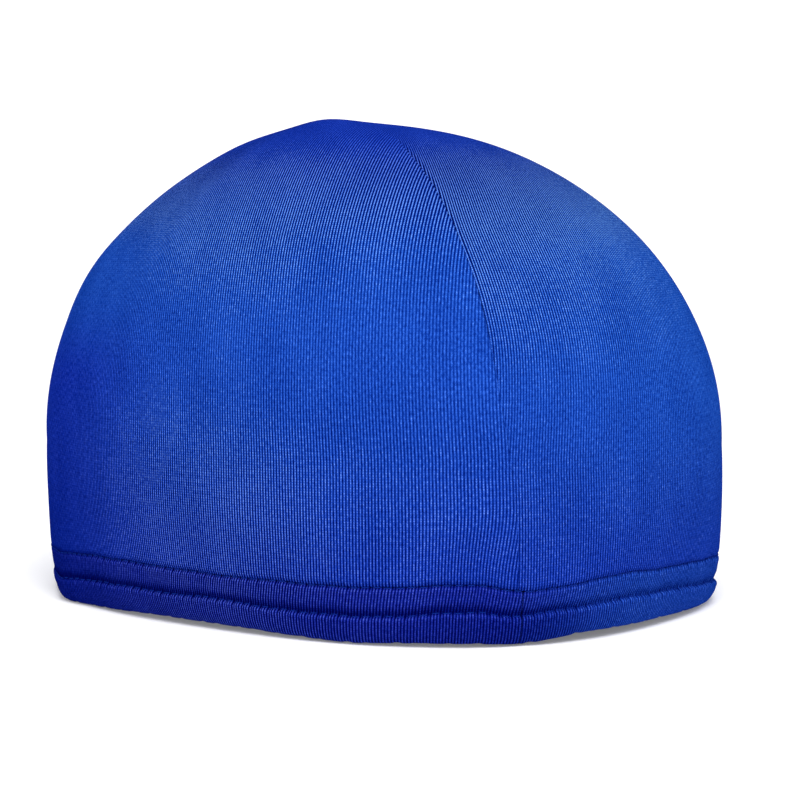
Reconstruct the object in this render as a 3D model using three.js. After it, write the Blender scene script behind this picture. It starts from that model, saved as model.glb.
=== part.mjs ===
// A stretch-knit skull cap: four cut panels sewn together up to one crown point, over a turned-up hem.
// Millimetres, +Z up. The front of the cap faces -Y and the wearer's right side faces -X.
// The cap is filled out as it is on a head, and stands on its hem.

import * as THREE from 'three';

// Outer size at the widest level, and the height of the crown point above the rim
const LENGTH = 190;
const WIDTH = 148;
const HEIGHT = 126.2;

// Level where the cap is widest, and how far the wall leans in from there down to the rim
const WIDEST_LEVEL = 41;
const RIM_INSET = 4.6;

// Roundness of the dome above the widest level: 1 is a plain ellipse, more is a slimmer top
const DOME_SLIMNESS = 0.99;

// Squareness of the plan: 2 is an ellipse, more is squarer. The rim is squarer than the dome.
const PLAN_POWER_DOME = 2.22;
const PLAN_POWER_RIM = 2.5;

// The crown point lies behind the middle of the cap, and the levels slide back towards it
const CROWN_BACKSET = 8;
const CROWN_BACKSET_POWER = 6;

// Cloth: one layer in the panels and two in the hem, with a slight inward roll low on the hem's inner face
const CLOTH_THICKNESS = 1.2;
const HEM_THICKNESS = 2.4;
const HEM_INNER_ROLL = 0.4;

// Hem: height of the upper and lower stitch rows above the rim, and the turn of the lowest strip
const UPPER_ROW_HEIGHT = 13.7;
const LOWER_ROW_HEIGHT = 7;
const STRIP_TURN_IN = 0.8;
const STRIP_SWELL = 0.5;
const UPPER_ROW_PINCH = 0.35;
const LOWER_ROW_PINCH = 0.55;
const ROW_PINCH_REACH = 1.5;

// The hem under the front panel arches up a little between its two seams
const FRONT_ARCH_RISE = 1.3;
const FRONT_ARCH_FADE_HEIGHT = 32;

// Seams: angle from the front or back line at the rim and at the crown, and the pulled-in groove along them
const SEAM_ANGLE_RIM = 30;
const SEAM_ANGLE_CROWN = 34.5;
const SEAM_PULL_DEPTH = 0.6;
const SEAM_PULL_REACH = 3.2;

// Clear gap between neighbouring pieces, and the size of the pinhole where the four tips meet
const PIECE_GAP = 0.3;
const TIP_SCALE = 0.012;

// Soft swellings and hollows of the cloth: angle round the cap from the front, height, rise out of the
// smooth surface, negative in a hollow, and reach
const SOFT_FORMS = [
  { name: 'crown gather', angle: -110, height: 125.8, rise: 1, reach: 9 },
  { name: 'full shoulder at the back', angle: -152, height: 84, rise: 1, reach: 17 },
  { name: 'hollow over the back hem', angle: -153, height: 24, rise: -1.8, reach: 12 },
  { name: 'hollow beside the front seam', angle: -42, height: 24, rise: -0.5, reach: 12 },
];

// Mesh density: columns across each panel, rows from hem to crown, and steps round the hem
const SIDE_PANEL_COLUMNS = 22;
const END_PANEL_COLUMNS = 14;
const WALL_ROWS = 5;
const DOME_ROWS = 15;
const HEM_STEPS = 88;

// Crowding of the columns towards the seams, from 0 to 1, and of the wall rows towards the hem, from 1 up
const EDGE_CROWDING = 0.7;
const WALL_ROW_CROWDING = 1.4;

const ROYAL_BLUE = 0x1f48b0;
const HEM_BLUE = 0x1b3c9c;

const radians = THREE.MathUtils.degToRad;
const lerp = THREE.MathUtils.lerp;

// Bell curve: 1 at zero distance, fading over the given reach
function bell(distance, reach) {
  return Math.exp(-((distance / reach) ** 2));
}

// The level curve at a rise of -1 at the rim, 0 at the widest level and 1 at the crown point
function levelAt(rise) {
  if (rise <= 0) {
    const height = WIDEST_LEVEL * (1 + rise);
    const stripShare = Math.max(0, 1 - height / LOWER_ROW_HEIGHT);
    const inset = RIM_INSET * rise ** 2 + STRIP_TURN_IN * stripShare ** 2;
    return {
      height,
      halfLength: LENGTH / 2 - inset,
      halfWidth: WIDTH / 2 - inset,
      centreY: 0,
      power: lerp(PLAN_POWER_DOME, PLAN_POWER_RIM, -rise),
    };
  }
  const climb = rise * Math.PI / 2;
  const lift = Math.sin(climb);
  const scale = Math.max(Math.cos(climb), 1e-6) ** DOME_SLIMNESS;
  return {
    height: lerp(WIDEST_LEVEL, HEIGHT, lift),
    halfLength: (LENGTH / 2) * scale,
    halfWidth: (WIDTH / 2) * scale,
    centreY: CROWN_BACKSET * lift ** CROWN_BACKSET_POWER,
    power: PLAN_POWER_DOME,
  };
}

// How far the rim is lifted under the front panel, at an angle from the front
function archLift(angle, height) {
  const fromFront = Math.abs(THREE.MathUtils.euclideanModulo(angle + 180, 360) - 180);
  const across = Math.max(0, 1 - (fromFront / SEAM_ANGLE_RIM) ** 2);
  const fade = Math.max(0, 1 - height / FRONT_ARCH_FADE_HEIGHT);
  return FRONT_ARCH_RISE * across * across * fade;
}

// A point of the smooth outer surface. The angle is in degrees from the front towards the wearer's left, +X.
function smoothPoint(angle, rise) {
  const level = levelAt(rise);
  const turn = radians(angle);
  const along = Math.cos(turn);
  const across = Math.sin(turn);
  const reach = (Math.abs(along / level.halfLength) ** level.power
    + Math.abs(across / level.halfWidth) ** level.power) ** (-1 / level.power);
  return new THREE.Vector3(
    reach * across,
    level.centreY - reach * along,
    level.height + archLift(angle, level.height),
  );
}

// Outward normal of the smooth surface
function smoothNormal(angle, rise) {
  const step = 1e-3;
  const eastward = smoothPoint(angle + step, rise).sub(smoothPoint(angle - step, rise));
  const upward = smoothPoint(angle, Math.min(rise + step, 1)).sub(smoothPoint(angle, rise - step));
  return eastward.cross(upward).normalize();
}

// The rise that brings the smooth surface to a height
function riseAtHeight(height) {
  if (height <= WIDEST_LEVEL) {
    return height / WIDEST_LEVEL - 1;
  }
  const lift = (height - WIDEST_LEVEL) / (HEIGHT - WIDEST_LEVEL);
  return Math.asin(lift) / (Math.PI / 2);
}

// The angle of a seam at a height, in the quarter between the front and the wearer's left
function seamAngle(height) {
  return lerp(SEAM_ANGLE_RIM, SEAM_ANGLE_CROWN, height / HEIGHT);
}

// Soft swellings and hollows, each with its centre on the smooth surface
const softForms = SOFT_FORMS.map((form) => ({
  ...form,
  centre: smoothPoint(form.angle, riseAtHeight(form.height)),
}));

// How far the cloth stands out of the smooth surface at a point, with its distance from the nearest seam
function reliefAt(point, seamDistance) {
  const height = point.z;
  const upperRow = -UPPER_ROW_PINCH * bell(height - UPPER_ROW_HEIGHT, ROW_PINCH_REACH);
  const lowerRow = -LOWER_ROW_PINCH * bell(height - LOWER_ROW_HEIGHT, ROW_PINCH_REACH);
  const inStrip = height > 0 && height < LOWER_ROW_HEIGHT;
  const strip = inStrip ? STRIP_SWELL * Math.sin(Math.PI * height / LOWER_ROW_HEIGHT) : 0;
  const seam = -SEAM_PULL_DEPTH * bell(seamDistance, SEAM_PULL_REACH);
  const soft = softForms.reduce(
    (sum, form) => sum + form.rise * bell(point.distanceTo(form.centre), form.reach),
    0,
  );
  return upperRow + lowerRow + strip + seam + soft;
}

// Builds a mesh geometry from a list of vertices and a list of triangles
function geometryFrom(vertices, triangles) {
  const geometry = new THREE.BufferGeometry();
  const flat = vertices.flatMap((vertex) => [vertex.x, vertex.y, vertex.z]);
  geometry.setAttribute('position', new THREE.Float32BufferAttribute(flat, 3));
  geometry.setIndex(triangles.flat());
  geometry.computeVertexNormals();
  return geometry;
}

// Rises of the rows of a panel, from just over the hem to the tip
function panelRises() {
  const rises = [];
  const bottom = riseAtHeight(UPPER_ROW_HEIGHT + PIECE_GAP / 2);
  for (let row = 0; row < WALL_ROWS; row += 1) {
    rises.push(lerp(bottom, 0, (row / WALL_ROWS) ** WALL_ROW_CROWDING));
  }
  const tip = Math.acos(TIP_SCALE) / (Math.PI / 2);
  for (let row = 0; row <= DOME_ROWS; row += 1) {
    rises.push(tip * row / DOME_ROWS);
  }
  return rises;
}

// Share of the way across a panel, with columns crowded towards its two seams
function columnShare(column, columns) {
  const even = column / columns;
  const crowded = 0.5 - 0.5 * Math.cos(Math.PI * even);
  return lerp(even, crowded, EDGE_CROWDING);
}

// A panel between two seams, given by functions of height. It is a closed wall one layer thick.
function panelGeometry(startAngleAt, endAngleAt, columns) {
  const rises = panelRises();
  const outer = [];
  const inner = [];
  for (const rise of rises) {
    const height = levelAt(rise).height;
    const start = startAngleAt(height);
    const end = endAngleAt(height);
    const middle = smoothPoint((start + end) / 2, rise);
    const radius = Math.hypot(middle.x, middle.y - levelAt(rise).centreY);
    const gapAngle = THREE.MathUtils.radToDeg(PIECE_GAP / 2 / radius);
    for (let column = 0; column <= columns; column += 1) {
      const angle = lerp(start + gapAngle, end - gapAngle, columnShare(column, columns));
      const point = smoothPoint(angle, rise);
      const normal = smoothNormal(angle, rise);
      const nearestSeam = Math.min(angle - start, end - angle);
      const relief = reliefAt(point, radians(nearestSeam) * radius);
      outer.push(point.clone().addScaledVector(normal, relief));
      inner.push(point.clone().addScaledVector(normal, relief - CLOTH_THICKNESS));
    }
  }
  return shellGeometry(outer, inner, columns, rises.length - 1);
}

// Joins an outer and an inner grid of points into one closed wall
function shellGeometry(outer, inner, columns, rows) {
  const vertices = [...outer, ...inner];
  const triangles = [];
  const at = (row, column) => row * (columns + 1) + column;
  const back = (row, column) => outer.length + at(row, column);
  const quad = (a, b, c, d) => triangles.push([a, b, c], [a, c, d]);
  for (let row = 0; row < rows; row += 1) {
    for (let column = 0; column < columns; column += 1) {
      quad(at(row, column), at(row, column + 1), at(row + 1, column + 1), at(row + 1, column));
      quad(back(row, column), back(row + 1, column), back(row + 1, column + 1), back(row, column + 1));
    }
    quad(at(row, 0), at(row + 1, 0), back(row + 1, 0), back(row, 0));
    quad(at(row, columns), back(row, columns), back(row + 1, columns), at(row + 1, columns));
  }
  for (let column = 0; column < columns; column += 1) {
    quad(at(0, column), back(0, column), back(0, column + 1), at(0, column + 1));
    quad(at(rows, column), at(rows, column + 1), back(rows, column + 1), back(rows, column));
  }
  return geometryFrom(vertices, triangles);
}

// Section of the hem, down its outer face, across the flat foot and up its inner face.
// Depth is measured in from the smooth surface at that height.
const HEM_TOP = UPPER_ROW_HEIGHT - PIECE_GAP / 2;
const HEM_SECTION = [
  { height: HEM_TOP, depth: 0, followsRelief: true },
  { height: 11.6, depth: 0, followsRelief: true },
  { height: 8.8, depth: 0, followsRelief: true },
  { height: LOWER_ROW_HEIGHT, depth: 0, followsRelief: true },
  { height: 5.2, depth: 0, followsRelief: true },
  { height: 3.2, depth: 0, followsRelief: true },
  { height: 1.2, depth: 0, followsRelief: true },
  { height: 0, depth: 0.8, followsRelief: false },
  { height: 0, depth: 2.0, followsRelief: false },
  { height: 1.2, depth: HEM_THICKNESS + HEM_INNER_ROLL, followsRelief: false },
  { height: LOWER_ROW_HEIGHT, depth: HEM_THICKNESS, followsRelief: false },
  { height: HEM_TOP, depth: HEM_THICKNESS, followsRelief: false },
];

// Distance along the rim from the nearest of the four seams
function rimSeamDistance(angle, radius) {
  const fromFront = Math.abs(THREE.MathUtils.euclideanModulo(angle + 180, 360) - 180);
  const fromEnd = Math.min(fromFront, 180 - fromFront);
  return radians(Math.abs(fromEnd - seamAngle(0))) * radius;
}

// The hem: one closed ring, two layers of cloth thick
function hemGeometry() {
  const vertices = [];
  const triangles = [];
  const sides = HEM_SECTION.length;
  for (let step = 0; step < HEM_STEPS; step += 1) {
    const angle = 360 * step / HEM_STEPS;
    for (const corner of HEM_SECTION) {
      const rise = riseAtHeight(corner.height);
      const point = smoothPoint(angle, rise);
      const normal = smoothNormal(angle, rise).setZ(0).normalize();
      const seamDistance = rimSeamDistance(angle, Math.hypot(point.x, point.y));
      const relief = corner.followsRelief ? reliefAt(point, seamDistance) : 0;
      vertices.push(point.addScaledVector(normal, relief - corner.depth));
    }
  }
  for (let step = 0; step < HEM_STEPS; step += 1) {
    const next = (step + 1) % HEM_STEPS;
    for (let side = 0; side < sides; side += 1) {
      const nextSide = (side + 1) % sides;
      const a = step * sides + side;
      const b = next * sides + side;
      const c = next * sides + nextSide;
      const d = step * sides + nextSide;
      triangles.push([a, c, b], [a, d, c]);
    }
  }
  return geometryFrom(vertices, triangles);
}

// Cloth of one piece: matt, with a soft satin sheen left to the finish
function cloth(name, colour) {
  return new THREE.MeshStandardMaterial({ name, color: colour, roughness: 0.72, metalness: 0 });
}

function piece(name, geometry, colour) {
  const mesh = new THREE.Mesh(geometry, cloth(`${name}_cloth`, colour));
  mesh.name = name;
  return mesh;
}

// The four panels, from seam to seam round the cap
const PANELS = [
  {
    name: 'front_panel',
    columns: END_PANEL_COLUMNS,
    startAngleAt: (height) => -seamAngle(height),
    endAngleAt: (height) => seamAngle(height),
  },
  {
    name: 'left_side_panel',
    columns: SIDE_PANEL_COLUMNS,
    startAngleAt: (height) => seamAngle(height),
    endAngleAt: (height) => 180 - seamAngle(height),
  },
  {
    name: 'back_panel',
    columns: END_PANEL_COLUMNS,
    startAngleAt: (height) => 180 - seamAngle(height),
    endAngleAt: (height) => 180 + seamAngle(height),
  },
  {
    name: 'right_side_panel',
    columns: SIDE_PANEL_COLUMNS,
    startAngleAt: (height) => 180 + seamAngle(height),
    endAngleAt: (height) => 360 - seamAngle(height),
  },
];

const cap = new THREE.Group();
cap.name = 'skull_cap';
for (const panel of PANELS) {
  const geometry = panelGeometry(panel.startAngleAt, panel.endAngleAt, panel.columns);
  cap.add(piece(panel.name, geometry, ROYAL_BLUE));
}
cap.add(piece('hem_band', hemGeometry(), HEM_BLUE));

export default cap;
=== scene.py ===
"""A thin stretch-knit skull cap in royal blue, filled out to a smooth dome and standing on its double hem."""

import math

import bpy
import numpy as np
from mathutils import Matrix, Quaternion, Vector


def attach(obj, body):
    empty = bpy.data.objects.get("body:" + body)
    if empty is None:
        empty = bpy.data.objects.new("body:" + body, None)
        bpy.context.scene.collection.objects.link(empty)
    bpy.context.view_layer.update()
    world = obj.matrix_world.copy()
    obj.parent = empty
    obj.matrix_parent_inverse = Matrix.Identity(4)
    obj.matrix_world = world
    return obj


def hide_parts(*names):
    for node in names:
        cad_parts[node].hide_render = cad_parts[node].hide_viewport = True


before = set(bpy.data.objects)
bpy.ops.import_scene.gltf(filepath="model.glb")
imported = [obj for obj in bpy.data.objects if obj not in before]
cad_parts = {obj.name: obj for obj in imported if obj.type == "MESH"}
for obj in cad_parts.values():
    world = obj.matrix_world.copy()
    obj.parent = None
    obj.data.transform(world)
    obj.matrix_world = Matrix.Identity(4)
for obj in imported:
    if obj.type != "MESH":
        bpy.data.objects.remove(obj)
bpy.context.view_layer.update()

SEEDED = np.random.default_rng(7)

# Lengths are in millimetres and angles in degrees until a mesh is made.
# Angles run from the front (-Y) toward +X.
METRES = 0.001
TINY = 1e-6

# The smooth bell under all the cloth
LENGTH = 190.0
WIDTH = 148.0
HEIGHT = 126.2
WIDEST_LEVEL = 41.0
RIM_INSET = 4.6
DOME_SLIMNESS = 0.99
PLAN_POWER_DOME = 2.22
PLAN_POWER_RIM = 2.5
CROWN_BACKSET = 8.0
CROWN_BACKSET_POWER = 6
ARCH_HALF_ANGLE = 30.0
FRONT_ARCH_RISE = 1.3
FRONT_ARCH_FADE_HEIGHT = 32.0
ANGLE_STEP = 0.01
RISE_STEP = 0.001
OUTLINE_REACH = 270.0
OUTLINE_STEPS = 10801

# Seams: four of them from the hem to the crown, mirrored left to right.
# The path is a height, and the angle there from the front or the back line.
SEAM_PATH = (
    (0, 28.7), (6, 29.4), (14, 29.8), (24, 29.8), (33, 30.1), (40, 30.5), (50, 31.2), (58, 31.9),
    (74, 32.3), (82, 32.5), (91, 32.8), (100, 33.4), (106, 33.6), (116, 33.0), (126.2, 32.5),
)
SEAM_PATH_SOFTNESS = 7.0
SEAM_PULL_LOW = 0.35
SEAM_PULL_HIGH = 0.22
SEAM_PULL_HEIGHTS = (30.0, 70.0)
SEAM_PULL_REACH = 3.2
SEAM_GROOVE_LOW = 0.15
SEAM_GROOVE_HIGH = 0.65
SEAM_GROOVE_HEIGHTS = (50.0, 85.0)
SEAM_GROOVE_REACH = 0.45
SEAM_FADE_HEIGHTS = (116.0, 121.0)

# Hem: two stitch rows, and a strip below the lower one.
# Each row has a pinch that reaches above and below it, a puff under it, the share of the pinch that is lost
# between needle points, and how much painted shade it puts in the colour along its crease.
UPPER_ROW = 13.7
LOWER_ROW = 7.0
ROW_CLEARANCE = 0.04
STRIP_TURN_IN = 0.8
STRIP_SWELL = 0.5
STITCH_LENGTH = 2.8
NEEDLE_REACH = 0.5
ROWS = (
    {
        "height": UPPER_ROW, "depth": 0.6, "above": 0.8, "below": 0.6,
        "puff": 0.15, "dash": 0.5, "shade": 0.2,
    },
    {
        "height": LOWER_ROW, "depth": 1.0, "above": 1.7, "below": 0.4,
        "puff": 0.25, "dash": 0.35, "shade": 0.4,
    },
)
SCALLOP = 0.3
PUFF_DROP = 1.2
PUFF_REACH = 0.8
HEM_GROOVE = 0.2
HEM_GROOVE_REACH = 0.5

# Firmness of the rows, and how many ribs the hem's ribs lean by from the upper row to the edge, by angle
ROW_FIRMNESS = (
    (-180, 1.0), (-158, 0.9), (-146, 0.3), (-134, 0.3), (-122, 0.9), (-110, 1.0), (180, 1.0),
)
HEM_SLANT = (
    (-180, 3.0), (-140, 3.5), (-110, 3.2), (-85, 2.6), (-60, 1.4), (-45, 1.2), (-33, 1.2),
    (-15, 0.6), (30, 0.3), (60, 1.2), (90, 2.6), (140, 3.0), (180, 3.0),
)

# How far the stitch rows, the lower of them further and the lower edge wander from their plain heights,
# by angle, and the small waves on top of that: count round the cap, height and phase
ROW_WANDER = (
    (-180, 0.2), (-160, -0.6), (-142, -1.4), (-132, -0.7), (-120, 0.75), (-105, 1.0), (-90, 0.7),
    (-80, 0.6), (-72, 0.6), (-65, 0.6), (-55, 0.4), (-48, 0.85), (-41, 1.4), (-35, 1.6),
    (-32, 0.3), (-28, -0.5), (-22, 0.2), (-16, 1.0), (-10, 1.1), (-3, 0.3), (6, -0.1),
    (14, -0.5), (24, -1.7), (38, -1.9), (60, 0.3), (85, -0.2), (104, 0.4), (128, -0.3),
    (150, 0.5), (170, 0.1), (180, 0.2),
)
LOWER_ROW_EXTRA = (
    (-180, 0.0), (-100, 0.0), (-83, 0.7), (-72, -0.2), (-57, -0.3), (-48, -0.3), (-40, 0.2),
    (-33, 0.3), (-27, 1.1), (-23, 1.2), (-17, 0.5), (-11, 0.3), (-3, 0.6), (5, 0.4),
    (14, 0.1), (26, 0.0), (90, 0.3), (130, -0.2), (180, 0.0),
)
EDGE_WANDER = (
    (-180, 0.3), (-150, 0.0), (-135, 0.0), (-121, 0.3), (-110, 0.9), (-105, 1.2), (-92, 1.25),
    (-79, 1.2), (-68, 0.75), (-56, 0.2), (-50, 0.65), (-44, 0.9), (-36, 0.85), (-31, 0.5),
    (-28, 0.3), (-25, 0.8), (-18, 1.4), (-13, 1.0), (-6, 0.4), (6, 0.05), (20, 0.0),
    (45, 0.5), (70, 0.1), (100, 0.7), (130, 0.0), (155, 0.5), (180, 0.3),
)
WANDER_SOFTNESS = 1.6
WANDER_FADE_HEIGHTS = (UPPER_ROW + 2, UPPER_ROW + 18)
ROW_WAVES = ((23, 0.06, 0.2), (41, 0.06, 2.6))
EDGE_WAVES = ((37, 0.08, 2.1), (83, 0.12, 1.0), (131, 0.08, 0.3))

# How bold the ribs stand out, by height, and the share of it that is left by angle: they lie flatter where
# the cloth is tight, on the middle of the wall and over the brow and the back of the head
# Boldness sets the ribs' relief and also how strong their painted groove shade and crest highlight are
RIB_BOLDNESS = (
    (0, 0.8), (30, 0.8), (40, 0.75), (52, 0.6), (62, 0.45), (70, 0.4), (80, 0.5), (92, 0.8),
    (102, 1.15), (113, 1.15), (119, 0.65), (124, 0.25), (130, 0.2),
)
FRONT_RIB_BOLDNESS = (
    (0, 0.8), (30, 0.8), (40, 0.75), (50, 0.55), (62, 0.6), (70, 0.85), (80, 1.1), (92, 1.3),
    (102, 1.4), (113, 1.35), (119, 0.65), (124, 0.25), (130, 0.2),
)
RIB_FLATTENING = (
    (-180, 0.7), (-150, 0.5), (-130, 0.5), (-112, 0.95), (-98, 1.25), (-74, 1.3), (-58, 1.0),
    (-25, 0.85), (5, 0.65), (30, 0.5), (60, 0.8), (90, 1.0), (120, 0.9), (150, 0.7), (180, 0.7),
)
FLATTENING_FADE_HEIGHTS = (88.0, 104.0)

# How tight the cloth is, together with painted light, from 0 to 1, by height, and the share of that by angle,
# which evens out up the dome
# It is partly the cloth's real stretch and partly painted light: painted shade toward the crown and at the
# back corner
# on the wearer's right, and a painted sheen over the brow and toward the wearer's left
STRETCH_AND_PAINTED_LIGHT = (
    (0, 0.05), (18, 0.2), (25, 0.28), (36, 0.42), (45, 0.55), (54, 0.64), (65, 0.7), (85, 0.78),
    (95, 0.8), (103, 0.68), (110, 0.45), (118, 0.2), (130, 0.1),
)
STRETCH_AND_PAINTED_LIGHT_ROUND = (
    (-180, 0.8), (-165, 0.6), (-146, 0.1), (-132, 0.0), (-118, 0.2), (-108, 0.5), (-96, 0.85),
    (-80, 1.0), (-36, 1.0), (-20, 1.12), (10, 1.35), (40, 1.3), (60, 1.1), (90, 1.0),
    (150, 0.8), (180, 0.8),
)
STRETCH_AND_PAINTED_LIGHT_EVENS_OUT = (58.0, 84.0)

# The hem is looser and darker: it is tight and lit by painted light only over the brow, between the angles
# where it comes in and dies away
HEM_STRETCH_AND_PAINTED_LIGHT = 0.5
HEM_STRETCH_AND_LIGHT_COMES_IN = (-34.0, -8.0)
HEM_STRETCH_AND_LIGHT_DIES_AWAY = (55.0, 115.0)

# Painted shade along the stitch rows and on the strip under them, by angle, and a painted highlight on the
# small puffs
ROW_PAINTED_SHADE_BY_ANGLE = ((-180, 1.0), (-34, 1.0), (-12, 0.4), (40, 0.4), (60, 1.0), (180, 1.0))
ROW_PAINTED_SHADE_ABOVE = 0.9
ROW_PAINTED_SHADE_BELOW = 0.7
PUFF_PAINTED_HIGHLIGHT = 0.12
PUFF_PAINTED_HIGHLIGHT_DROP = 0.75
PUFF_PAINTED_HIGHLIGHT_REACH = 0.4
STRIP_SHADE = (
    (-180, 0.05), (-60, 0.05), (-42, 0.09), (-32, 0.16), (-22, 0.12), (-10, 0.0), (40, 0.0),
    (60, 0.05), (180, 0.05),
)
STRIP_SHADE_HEIGHTS = (LOWER_ROW - 1.5, LOWER_ROW)

# Painted shade: a slightly darker patch low down at the back corner on the wearer's right
CORNER_SHADE = 0.13
CORNER_ANGLE = -136.0
CORNER_REACH = 18.0
CORNER_HEIGHTS = (10.0, 60.0)

# Cloth
CLOTH_THICKNESS = 0.9
LAYER_GAP = 0.5
WALL_ROWS = 34
WALL_CROWDING = 0.35
DOME_ROWS = 90
TIP_RISE = 0.997
BROAD_UNEVENNESS = 0.14
SMALL_UNEVENNESS = 0.07

# Soft forms of the cloth: angle, height, rise and reach
SOFT_FORMS = (
    (-110.0, 125.8, 1.3, 9.0),
    (-100.0, 126.0, -0.6, 30.0),
    (-142.0, 112.0, -1.0, 24.0),
    (40.0, 106.0, -0.6, 26.0),
    (-132.0, 1.5, 2.2, 9.0),
    (-152.0, 84.0, 1.0, 17.0),
    (38.0, 52.0, 0.7, 26.0),
    (-140.0, 52.0, 0.4, 20.0),
    (-153.0, 24.0, -1.8, 12.0),
    (-42.0, 24.0, -0.5, 12.0),
)

# Section of the folded hem. The outer face goes down in bands: from a height, to a height and in how many
# points. The fold and the turned edge give height, depth under the outer face and the share of its relief.
INNER_EDGE_HEIGHT = 14.8
HEM_DEPTH = 2 * CLOTH_THICKNESS + LAYER_GAP
OUTER_BANDS = (
    (UPPER_ROW - ROW_CLEARANCE, 11.4, 8),
    (10.8, 7.9, 6),
    (7.5, 4.9, 10),
    (4.4, 1.1, 6),
)
FOLD = (
    (0.55, 0.12, 1.0), (0.2, 0.4, 1.0), (0.03, 0.8, 1.0), (0.0, 1.15, 1.0),
    (0.03, 1.5, 0.8), (0.2, 1.9, 0.6), (0.55, 2.18, 0.5), (1.1, HEM_DEPTH, 0.3),
)
INNER_SHARE = 0.25
INNER_FACE_HEIGHTS = (2.6, 4.2, 5.6, 6.2, 6.7, 7.2, 7.8, 9.4, 11.4, 12.6, 13.2, 13.7, 14.2)
TURNED_EDGE = (
    (INNER_EDGE_HEIGHT - 0.12, HEM_DEPTH, INNER_SHARE),
    (INNER_EDGE_HEIGHT, HEM_DEPTH - 0.2, INNER_SHARE),
    (INNER_EDGE_HEIGHT, HEM_DEPTH - 0.7, INNER_SHARE),
    (INNER_EDGE_HEIGHT - 0.12, HEM_DEPTH - CLOTH_THICKNESS, INNER_SHARE),
)
INNER_BACK_SHARE = 0.4
INNER_BACK_HEIGHTS = (13.7, 12.0, 9.0, 7.0, 4.0, 2.0)
FOLD_INSIDE = (1.15, HEM_DEPTH / 2, 0.8)
OUTER_BACK_HEIGHTS = (2.0, 4.0, 5.6, 6.7, 7.8, 10.0, 12.4, 13.4)
OUTER_BACK_TOP = (UPPER_ROW - ROW_CLEARANCE, CLOTH_THICKNESS - 0.2, 1.0)
HEM_COLUMNS_PER_STITCH = 6

# Each panel: the seams that it runs between, the far points (X, Y) that its ribs fan out from over the dome,
# toward the front and toward the back, the rib spacing at its first and last seam, how far the ribs drift
# round the cap by height, and how far they are gathered in low down at the front seam
PANELS = {
    "front_panel": {
        "seams": (-1, 1),
        "fans": ((123.0, 135.0), (123.0, 135.0)),
        "spacing": (0.69, 0.86),
        "drift": ((44, 0.0), (58, -1.2), (72, -2.2), (84, -0.8), (100, 2.6), (127, 2.6)),
        "gather": 0.0,
        "columns": 150,
    },
    "left_side_panel": {
        "seams": (1, 2),
        "fans": ((-900.0, 360.0), (-600.0, 0.0)),
        "spacing": (0.82, 0.68),
        "drift": ((44, 0.0), (69, -1.6), (94, -3.2), (127, -3.2)),
        "gather": -2.2,
        "columns": 262,
    },
    "back_panel": {
        "seams": (2, 3),
        "fans": ((0.0, -1000.0), (0.0, -1000.0)),
        "spacing": (0.75, 0.75),
        "drift": ((44, 0.0), (127, 0.0)),
        "gather": 0.0,
        "columns": 150,
    },
    "right_side_panel": {
        "seams": (-2, -1),
        "fans": ((900.0, 360.0), (600.0, 0.0)),
        "spacing": (0.68, 0.82),
        "drift": ((44, 0.0), (69, 1.6), (94, 3.2), (127, 3.2)),
        "gather": 2.2,
        "columns": 262,
    },
}
BACK_FAN_ANGLES = (108.0, 140.0)
FAN_MARGIN = 40.0
SPACING_MARGIN = 0.3
GATHER_REACH = 16.0
GATHER_HEIGHTS = (14.0, 34.0)

# Distances from a seam of the columns of a panel that crowd near it, and where the even ones begin
NEAR_SEAM = (0.0, 0.12, 0.26, 0.42, 0.6, 0.82, 1.1, 1.5, 2.0, 2.7)
EVEN_FROM = 3.5

# Thread of the stitches: each bridge is a thin arched tube between two needle points
THREAD_RADIUS = 0.12
THREAD_SPAN = 0.7
THREAD_WANDER = 0.07
THREAD_ARCH = 1.1
THREAD_SINK = 0.35
THREAD_FULLNESS = 1.6
THREAD_TIP = 0.08
THREAD_RINGS = 9
THREAD_SIDES = 8

# Seam allowances, behind the seams inside the cap
ALLOWANCE_HALF_WIDTH = 1.7
ALLOWANCE_HALF_DEPTH = 0.55
ALLOWANCE_CLEARANCE = 0.06
ALLOWANCE_FOOT = INNER_EDGE_HEIGHT + 0.4
ALLOWANCE_TOP_RISE = 0.955
ALLOWANCE_WALL_ROWS = 16
ALLOWANCE_DOME_ROWS = 60
ALLOWANCE_SIDES = 14

# Look of the knit, in ribs round the cap and millimetres along them
LOOP_HEIGHT = 0.62
LOOP_DIMPLE = 0.76
CREST_EDGES = (0.1, 0.4)
RIB_BUMP = 0.26 * METRES
RIB_WANDER = 0.08
RIB_WANDER_SCALE = (0.21, 0.11)
STREAK_SCALE = (1.6, 1.0)
STREAK_BOLDNESS = (0.4, 1.1)
STREAK_STRENGTH = (0.8, 0.6)
MOTTLE_SCALE = (0.06, 0.045)
MOTTLE_RANGE = (0.3, 0.7)
MOTTLE = 0.04
GROOVE_ROUGHNESS = 0.7
CREST_ROUGHNESS = 0.46
THREAD_ROUGHNESS = 0.6

# Colours of the knit from the bottom of the grooves to the crests of the ribs, and of the thread
# The dark groove stops are painted shade and the light crest stops are painted highlights
# The tight tones are lighter for stretched cloth and painted light, the loose ones darker for loose cloth and
# painted shade
TIGHT_AND_LIT_TONES = (
    (0.0, (0.0001, 0.004, 0.115)),
    (0.45, (0.004, 0.039, 0.285)),
    (0.8, (0.027, 0.13, 0.59)),
    (1.0, (0.15, 0.36, 0.87)),
)
LOOSE_AND_SHADED_TONES = (
    (0.0, (0.0001, 0.0007, 0.062)),
    (0.45, (0.0018, 0.0125, 0.22)),
    (0.8, (0.018, 0.046, 0.44)),
    (1.0, (0.09, 0.15, 0.66)),
)
HEM_TONES = (
    (0.0, (0.0001, 0.0006, 0.053)),
    (0.45, (0.0017, 0.0075, 0.16)),
    (0.8, (0.017, 0.032, 0.34)),
    (1.0, (0.057, 0.095, 0.48)),
)
THREAD_COLOUR = (0.004, 0.018, 0.19, 1.0)

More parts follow.
